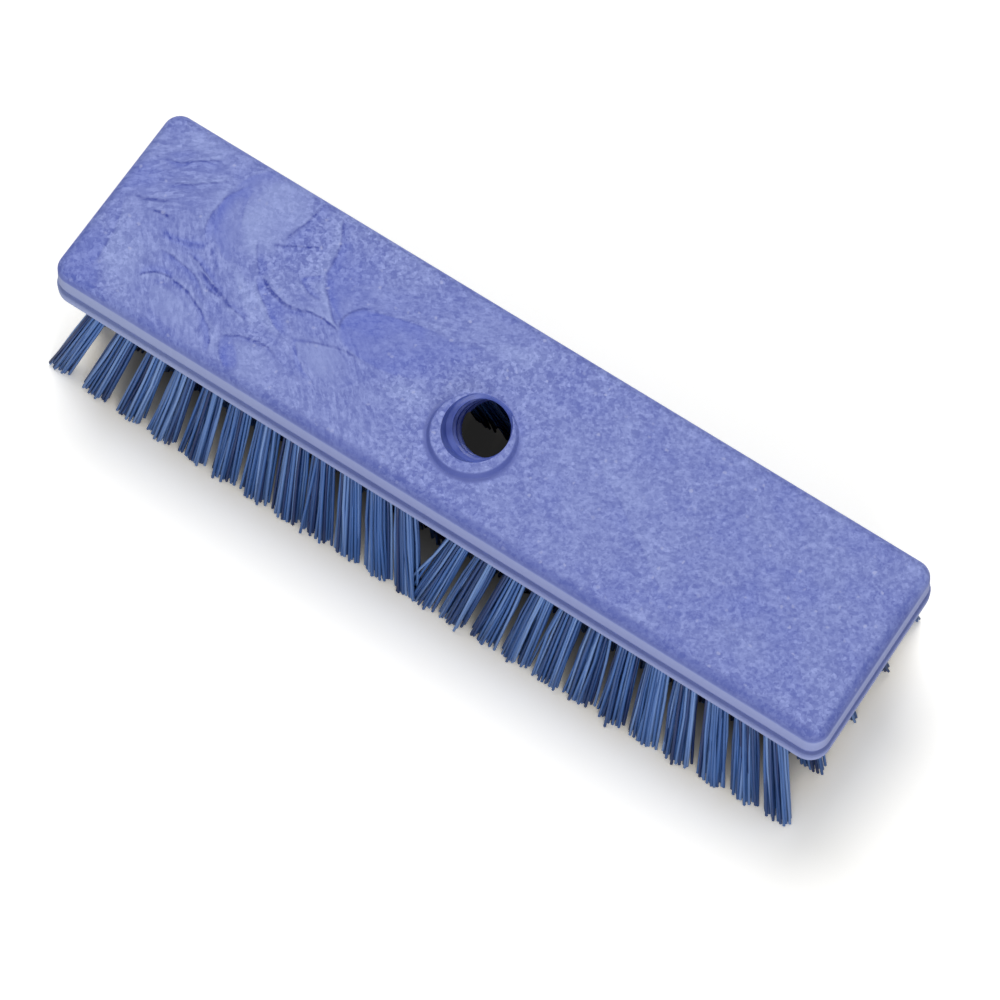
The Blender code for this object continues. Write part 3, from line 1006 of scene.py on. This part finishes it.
@dataclass
class HeadMoulding:
    """The moulded block with its collar, its threaded socket and the holes drilled for the tufts."""

    plan: TuftPlan
    finish: FoamedPolypropylene
    socket_finish: SocketSkinWithPaintedShade
    length: float = 254.0 * MM
    width: float = 62.5 * MM
    thickness: float = 15.0 * MM
    corner_radius: float = 6.0 * MM
    top_round: float = 3.0 * MM
    draft: float = 0.4 * MM
    lip_height: float = 3.8 * MM
    lip_reach: float = 0.6 * MM
    lip_round: float = 0.5 * MM
    groove_height: float = 2.6 * MM
    groove_depth: float = 0.8 * MM
    groove_round: float = 0.3 * MM
    collar_centre_y: float = -7.1 * MM
    collar_height: float = 2.3 * MM
    collar_rim_radius: float = 12.0 * MM
    collar_draft: float = 0.5 * MM
    collar_rim_round: float = 0.5 * MM
    collar_foot_fillet: float = 0.6 * MM
    socket_tilt: float = math.radians(25.0)
    socket_y_at_top: float = -4.1 * MM
    mouth_radius: float = 9.6 * MM
    mouth_depth: float = 3.4 * MM
    # The thread: it runs in below the mouth, and its flanks start at a share of half a pitch.
    thread_minor: float = 8.1 * MM
    thread_depth: float = 1.5 * MM
    thread_pitch: float = 5.08 * MM
    thread_run_in: float = 1.6 * MM
    flank_start: float = 0.3
    flank: float = 0.4
    hole_radius: float = 3.4 * MM
    hole_depth: float = 8.0 * MM
    # How finely the round forms are divided, and how far a cutting form runs past what it cuts.
    lip_steps: int = 3
    groove_steps: int = 2
    top_steps: int = 8
    rim_steps: int = 4
    foot_steps: int = 6
    corner_steps: int = 10
    turned_steps: int = 96
    thread_steps: int = 72
    thread_row: float = 0.3 * MM
    hole_sides: int = 16
    overrun: float = 2.0 * MM
    # A point that is this near to the socket's form and this far below the rim lies on its wall.
    wall_margin: float = 0.15 * MM
    rim_margin: float = 0.2 * MM
    # What counts as the same point or as no area, and the angle from which an edge stays sharp.
    weld: float = 0.004 * MM
    sliver: float = 0.002 * MM
    cut_weld: float = 0.0005 * MM
    crease: float = math.radians(32)

    @property
    def top_z(self) -> float:
        """Height of the flat top."""
        return self.plan.trim + self.thickness

    @property
    def rim_z(self) -> float:
        """Height of the collar's rim."""
        return self.top_z + self.collar_height

    def side_levels(self) -> list[Point]:
        """Draw the side from the underside to the top.

        Returns:
            Its points, each the inset from the lip's outline and the height.
        """
        under, lip_top = self.plan.trim, self.plan.trim + self.lip_height
        groove_top = lip_top + self.groove_height
        floor = self.lip_reach + self.groove_depth
        soft, fine, top = self.lip_round, self.groove_round, self.top_round
        rounds = (
            ((soft, under + soft), soft, 270, 180, self.lip_steps),
            ((soft, lip_top - soft), soft, 180, 90, self.lip_steps),
            ((floor - fine, lip_top + fine), fine, 270, 360, self.groove_steps),
            ((floor - fine, groove_top - fine), fine, 0, 90, self.groove_steps),
            ((self.lip_reach + fine, groove_top + fine), fine, 270, 180, self.groove_steps),
            ((self.lip_reach + self.draft + top, self.top_z - top), top, 180, 90, self.top_steps),
        )
        return [point for turned in rounds for point in arc(*turned)]

    def outline(self, inset: float) -> list[Point]:
        """Draw the head's outline from above.

        Args:
            inset: How far it is drawn in.

        Returns:
            Its points.
        """
        radius = self.corner_radius - inset
        half_x, half_y = self.length / 2 - self.corner_radius, self.width / 2 - self.corner_radius
        points = []
        for quarter, (x, y) in enumerate(((1, 1), (-1, 1), (-1, -1), (1, -1))):
            start = 90 * quarter
            points += arc((x * half_x, y * half_y), radius, start, start + 90, self.corner_steps)
        return points

    def block(self) -> bpy.types.Object:
        """The plain block with its band, groove and lip."""
        rings = [[(x, y, z) for x, y in self.outline(inset)] for inset, z in self.side_levels()]
        return loft("head_moulding", rings, rising=True)

    def collar(self) -> bpy.types.Object:
        """Make the raised crescent at the socket's mouth, turned about its own axis.

        Returns:
            The closed form.
        """
        foot_radius = self.collar_rim_radius + self.collar_draft
        fillet, soft = self.collar_foot_fillet, self.collar_rim_round
        profile = arc((self.collar_rim_radius - soft, self.collar_height - soft), soft, 90, 0, self.rim_steps)
        profile += arc((foot_radius + fillet, fillet), fillet, 180, 270, self.foot_steps)
        profile.append((foot_radius + fillet, -self.top_round))
        rings = []
        for radius, height in profile:
            turned = arc((0.0, 0.0), radius, 0, 360, self.turned_steps)[:-1]
            rings.append([(x, y + self.collar_centre_y, self.top_z + height) for x, y in turned])
        return loft("collar_form", rings, rising=False)

    def axis_y(self, height: float) -> float:
        """Where the socket's axis is across the head, at a height."""
        return self.socket_y_at_top - (height - self.top_z) * math.tan(self.socket_tilt)

    def socket_radius(self, depth: float, turn: float) -> float:
        """The socket's radius at a depth below the rim, along its axis.

        Args:
            depth: Distance below the rim.
            turn: Share of a full turn round the axis.

        Returns:
            The plain mouth's radius, or that of the handle's thread further in.
        """
        phase = (depth / self.thread_pitch + turn) % 1.0
        crest = abs(2 * phase - 1)
        cut = min(max((crest - self.flank_start) / self.flank, 0.0), 1.0)
        thread = self.thread_minor + self.thread_depth * cut * cut * (3 - 2 * cut)
        run_in = min(max((depth - self.mouth_depth) / self.thread_run_in, 0.0), 1.0)
        return self.mouth_radius + (thread - self.mouth_radius) * run_in

    def in_socket(self, point: Vector) -> bool:
        """Find whether a point of the head's surface lies on the socket's wall.

        Args:
            point: The point.

        Returns:
            Whether it does.
        """
        off_y = (point.y - self.axis_y(point.z)) * math.cos(self.socket_tilt)
        near = math.hypot(point.x, off_y) < self.mouth_radius + self.wall_margin
        return near and point.z < self.rim_z - self.rim_margin

    def socket(self) -> bpy.types.Object:
        """Make the space inside the socket, which leans with the handle.

        Returns:
            The closed form, which runs out past both ends.
        """
        mouth = Matrix.Translation((0.0, self.axis_y(self.rim_z), self.rim_z))
        place = mouth @ Matrix.Rotation(self.socket_tilt, 4, "X")
        above = self.mouth_radius * math.tan(self.socket_tilt) + self.overrun
        below = (self.thickness + self.collar_height) / math.cos(self.socket_tilt) + above + self.overrun
        rows = int((above + below) / self.thread_row)
        rings = []
        for row in range(rows + 1):
            depth = -above + (above + below) * row / rows
            ring = []
            for at in range(self.thread_steps):
                turn = at / self.thread_steps
                angle, radius = 2 * math.pi * turn, self.socket_radius(depth, turn)
                ring.append(place @ Vector((radius * math.cos(angle), radius * math.sin(angle), -depth)))
            rings.append(ring)
        return loft("socket_form", rings, rising=False)

    def tuft_holes(self) -> bpy.types.Object:
        """Make the drilled holes of all tufts, each along its own tuft.

        Returns:
            The closed forms as one object.
        """
        bm = bmesh.new()
        for tuft in self.plan.all_tufts():
            lean = (tuft.root - tuft.tip).normalized()
            start, end = tuft.root - lean * self.overrun, tuft.root + lean * self.hole_depth
            turn = Vector((0.0, 0.0, 1.0)).rotation_difference(lean).to_matrix().to_4x4()
            bmesh.ops.create_cone(
                bm, cap_ends=True, segments=self.hole_sides, radius1=self.hole_radius,
                radius2=self.hole_radius, depth=(end - start).length,
                matrix=Matrix.Translation((start + end) / 2) @ turn)
        return mesh_object("tuft_hole_forms", bm)

    def build(self) -> None:
        """Make the head, dress it and tie it to the model."""
        head = self.block()
        carve(head, self.collar(), "UNION")
        carve(head, self.socket(), "DIFFERENCE")
        carve(head, self.tuft_holes(), "DIFFERENCE")
        self.part(head)
        self.smooth(head)
        self.dress(head)
        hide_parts("head")
        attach(head, "root")
        LOG.info("%s: %d faces", head.name, len(head.data.polygons))

    def part(self, item: bpy.types.Object) -> None:
        """Draw an edge round the head at each end of a stretch of the finish.

        Args:
            item: The head.
        """
        bm = bmesh.new()
        bm.from_mesh(item.data)
        for cut in self.finish.cuts:
            bmesh.ops.bisect_plane(
                bm, geom=bm.verts[:] + bm.edges[:] + bm.faces[:], dist=self.cut_weld,
                plane_co=(cut * MM, 0.0, 0.0), plane_no=(1.0, 0.0, 0.0))
        bm.to_mesh(item.data)
        bm.free()

    def smooth(self, item: bpy.types.Object) -> None:
        """Shade the round parts smooth and keep the flats flat.

        Args:
            item: The head.
        """
        bm = bmesh.new()
        bm.from_mesh(item.data)
        bmesh.ops.remove_doubles(bm, verts=bm.verts[:], dist=self.weld)
        bmesh.ops.dissolve_degenerate(bm, edges=bm.edges[:], dist=self.sliver)
        for face in bm.faces:
            face.smooth = True
        for edge in bm.edges:
            edge.smooth = edge.is_manifold and edge.calc_face_angle(0.0) < self.crease
        bm.to_mesh(item.data)
        bm.free()
        weighted = item.modifiers.new("even_shading", "WEIGHTED_NORMAL")
        weighted.keep_sharp = True
        bake_modifiers(item)

    def dress(self, item: bpy.types.Object) -> None:
        """Give each stretch of the head its finish, and the socket its own.

        Args:
            item: The head.
        """
        stretches = self.finish.stretches()
        item.data.materials.clear()
        for finish in (*stretches, self.socket_finish):
            item.data.materials.append(finish.material())
        vertices = item.data.vertices
        for face in item.data.polygons:
            if all(self.in_socket(vertices[at].co) for at in face.vertices):
                face.material_index = len(stretches)
            else:
                face.material_index = sum(face.center.x > cut * MM for cut in self.finish.cuts)


@dataclass
class FilamentMesh:
    """The mesh of one line of tufts while it is filled, tube by tube."""

    radius: float
    sides: int
    points: list[Vector] = field(default_factory=list)
    faces: list[tuple[int, ...]] = field(default_factory=list)
    tones: list[float] = field(default_factory=list)
    flat_faces: list[int] = field(default_factory=list)

    def add(self, line: list[Vector], tone: float) -> None:
        """Add one filament's tube.

        Args:
            line: Its middle line, which ends at its tip.
            tone: Its shade, from 0 to 1.
        """
        along = (line[-1] - line[0]).normalized()
        across = along.orthogonal().normalized()
        other = along.cross(across)
        first, steps = len(self.points), len(line) - 1
        for step, centre in enumerate(line):
            for at in range(self.sides):
                angle = 2 * math.pi * at / self.sides
                point = centre + (across * math.cos(angle) + other * math.sin(angle)) * self.radius
                if step == steps:
                    point.z = max(point.z, 0.0)
                self.points.append(point)
                self.tones.append(tone)
        for step in range(steps):
            for at in range(self.sides):
                a, b = (first + step * self.sides + turn % self.sides for turn in (at, at + 1))
                self.faces.append((a, b, b + self.sides, a + self.sides))
        last = first + steps * self.sides
        for cap in (reversed(range(first, first + self.sides)), range(last, last + self.sides)):
            self.flat_faces.append(len(self.faces))
            self.faces.append(tuple(cap))

    def build(self, name: str, tone_attribute: str) -> bpy.types.Object:
        """Turn the tubes into an object of the scene.

        Args:
            name: The object's name.
            tone_attribute: The name of the attribute that keeps the shades.

        Returns:
            The new object.
        """
        mesh = bpy.data.meshes.new(name)
        mesh.from_pydata(self.points, [], self.faces)
        smooth = np.ones(len(self.faces), bool)
        smooth[self.flat_faces] = False
        mesh.polygons.foreach_set("use_smooth", smooth)
        attribute = mesh.attributes.new(tone_attribute, "FLOAT", "POINT")
        attribute.data.foreach_set("value", np.array(self.tones, np.float32))
        return link_object(name, mesh)


@dataclass
class Bristles:
    """The bristle field: lines of tufts across the head, each tuft a bundle of single filaments.

    The filaments are drawn thicker and fewer than the real ones, so that each of them shows. The
    splay is how much a bundle spreads on the way to its tips, along the head and across it.
    """

    plan: TuftPlan
    finish: DrawnFilament
    filament_radius: float = 0.45 * MM
    tuft_radius: float = 3.35 * MM
    spacing: float = 0.94 * MM
    jostle: float = 0.06 * MM
    splay: Point = (1.55, 0.65)
    end_gather: float = 0.25
    scatter: float = 0.3 * MM
    stray_share: float = 0.04
    stray: float = 1.5 * MM
    trim_share: float = 0.45
    trim_spread: float = 2.0 * MM
    sunk: float = 5.0 * MM
    bow: float = 0.35 * MM
    # The filaments' tones, partly painted shade and highlight: their mean and how far they vary about it.
    tone: Point = (0.47, 0.3)
    sides: int = 5
    rings: tuple[float, ...] = (0.0, 0.55, 1.0)
    seed: int = 1452
    seed_stride: int = 100
    # How far out along and across the head a tip's middle may lie, less so many radii.
    limit: Point = (129.0 * MM, 40.9 * MM)
    limit_radii: float = 1.1

    def bundle(self, rng: random.Random) -> list[Point]:
        """Find where the filaments pass through the mouth of a hole.

        Args:
            rng: The source of their small departures from even rows.

        Returns:
            Their offsets from its middle.
        """
        rows = int(self.tuft_radius / self.spacing) + 2
        turn = rng.uniform(0, math.pi)
        cos, sin = math.cos(turn), math.sin(turn)
        points = []
        for row in range(-rows, rows + 1):
            for at in range(-rows, rows + 1):
                x = (at + 0.5 * (row % 2)) * self.spacing + rng.gauss(0, self.jostle)
                y = row * self.spacing * math.sqrt(3) / 2 + rng.gauss(0, self.jostle)
                if math.hypot(x, y) <= self.tuft_radius - self.filament_radius:
                    points.append((x * cos - y * sin, x * sin + y * cos))
        return points

    def filament(self, tuft: Tuft, offset: Point, splay: Point, rng: random.Random) -> list[Vector]:
        """The middle line of one filament.

        Args:
            tuft: The tuft that it belongs to.
            offset: Its place in the bundle.
            splay: How much the bundle spreads on the way to its tips, along the head and across it.
            rng: The source of its small departures.

        Returns:
            Points from inside the head to the tip.
        """
        loose = self.stray if rng.random() < self.stray_share else self.scatter
        root = tuft.root + Vector((*offset, 0.0))
        spread = [off * share + rng.gauss(0, loose) for off, share in zip(offset, splay)]
        tip = tuft.tip + Vector((*spread, 0.0))
        tip.z = abs(rng.gauss(0, self.trim_share)) * self.trim_spread
        for axis, limit in enumerate(self.limit):
            reach = limit - self.filament_radius * self.limit_radii
            tip[axis] = min(max(tip[axis], -reach), reach)
        start = root + (root - tip) * (self.sunk / self.plan.trim)
        bend = Vector((rng.gauss(0, self.bow), rng.gauss(0, self.bow), 0.0))
        return [start.lerp(tip, share) + bend * 4 * share * (1 - share) for share in self.rings]

    def column(self, side: Side, number: int) -> bpy.types.Object:
        """Make one line of tufts.

        Args:
            side: Which end of the head.
            number: The line's number, from 0 next to the middle.

        Returns:
            The bristles of the line, as one object.
        """
        rng = random.Random(self.seed + self.seed_stride * number + side.value)
        share = number / (self.plan.columns - 1)
        gather = self.end_gather * share ** self.plan.end_power if side is Side.LEFT else 0.0
        splay = (self.splay[0] - gather, self.splay[1])
        tubes = FilamentMesh(self.filament_radius, self.sides)
        for tuft in self.plan.column(side, number):
            for offset in self.bundle(rng):
                line = self.filament(tuft, offset, splay, rng)
                tubes.add(line, min(max(rng.gauss(*self.tone), 0.0), 1.0))
        return tubes.build(f"bristles_{side.word}_{number + 1:02d}", self.finish.tone_attribute)

    def build(self) -> None:
        """Make every line of tufts, dress them and tie them to the model."""
        material = self.finish.material()
        for side in Side:
            for number in range(self.plan.columns):
                item = self.column(side, number)
                item.data.materials.append(material)
                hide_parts(f"tufts_{side.word}_{number + 1:02d}")
                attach(item, "root")
                LOG.info("%s: %d faces", item.name, len(item.data.polygons))


@dataclass
class Studio:
    """The floor, the lights, the white surroundings and the camera.

    The lens and the sensor are in millimetres, the lamps' power is in watts, and the directions
    point from the brush to the lamps.
    """

    finish: PaperSweep
    azimuth: float = math.radians(33.67)
    elevation: float = math.radians(68.62)
    roll: float = math.radians(-0.11)
    distance: float = 1157.4 * MM
    aim: Point = (3.46 * MM, -1.75 * MM)
    lens: float = 145.13
    sensor: float = 36.0
    clip_start: float = 0.05
    floor_size: float = 6.0
    key_direction: Triple = (-0.25, 0.36, 1.0)
    key_size: float = 0.85
    key_power: float = 11.3
    fill_direction: Triple = (0.55, -0.78, 0.33)
    fill_size: float = 1.0
    fill_power: float = 10.8
    lamp_distance: float = 1.6
    sky: float = 0.37

    def camera(self) -> None:
        """Put the camera where the picture was taken from."""
        data = bpy.data.cameras.new("camera")
        data.lens = self.lens
        data.sensor_width = self.sensor
        data.clip_start = self.clip_start
        item = link_object("camera", data)
        turn = Matrix.Rotation(self.azimuth, 3, "Z") @ Matrix.Rotation(math.pi / 2 - self.elevation, 3, "X")
        item.location = turn @ Vector((*self.aim, self.distance))
        item.rotation_euler = (turn @ Matrix.Rotation(self.roll, 3, "Z")).to_euler()
        bpy.context.scene.camera = item

    def floor(self) -> None:
        """Lay the paper that the brush stands on."""
        bm = bmesh.new()
        bmesh.ops.create_grid(bm, x_segments=2, y_segments=2, size=self.floor_size / 2)
        item = mesh_object("floor", bm)
        item.data.materials.append(self.finish.material())

    def lamp(self, name: str, direction: Triple, size: float, power: float) -> None:
        """Hang one large soft lamp that shines at the brush.

        Args:
            name: The lamp's name.
            direction: Where it is, seen from the brush.
            size: Its diameter.
            power: Its power in watts.
        """
        data = bpy.data.lights.new(name, "AREA")
        data.shape = "DISK"
        data.size = size
        data.energy = power
        item = link_object(name, data)
        towards = Vector(direction).normalized()
        item.location = towards * self.lamp_distance
        item.rotation_euler = towards.to_track_quat("Z", "Y").to_euler()

    def surroundings(self) -> None:
        """Light everything softly from all round, and show white behind it."""
        world = bpy.data.worlds.new("studio")
        world.use_nodes = True
        bpy.context.scene.world = world
        nodes = Nodes(world.node_tree)
        path = nodes.add("LightPath")
        seen = path["Is Camera Ray"]
        for kind in ("Is Glossy Ray", "Is Transmission Ray"):
            seen = nodes.add("Math", [seen, path[kind]], operation="MAXIMUM")[0]
        strength = nodes.add("Mix", {"Factor": seen, "A": self.sky, "B": 1.0})[0]
        nodes.feed("Background", {"Strength": strength, "Color": (1.0, 1.0, 1.0, 1.0)})

    def build(self) -> None:
        """Set the whole studio up."""
        bpy.context.scene.view_settings.view_transform = "Standard"
        self.camera()
        self.floor()
        self.lamp("key", self.key_direction, self.key_size, self.key_power)
        self.lamp("fill", self.fill_direction, self.fill_size, self.fill_power)
        self.surroundings()
        LOG.info("studio: floor, two lamps, surroundings and camera")


def main() -> None:
    """Build and dress every piece, then the studio round it."""
    logging.basicConfig(level=logging.INFO, format="%(name)s: %(message)s")
    plan = TuftPlan()
    HeadMoulding(plan, FoamedPolypropylene(), SocketSkinWithPaintedShade()).build()
    Bristles(plan, DrawnFilament()).build()
    Studio(PaperSweep()).build()


if __name__ == "__main__":
    main()
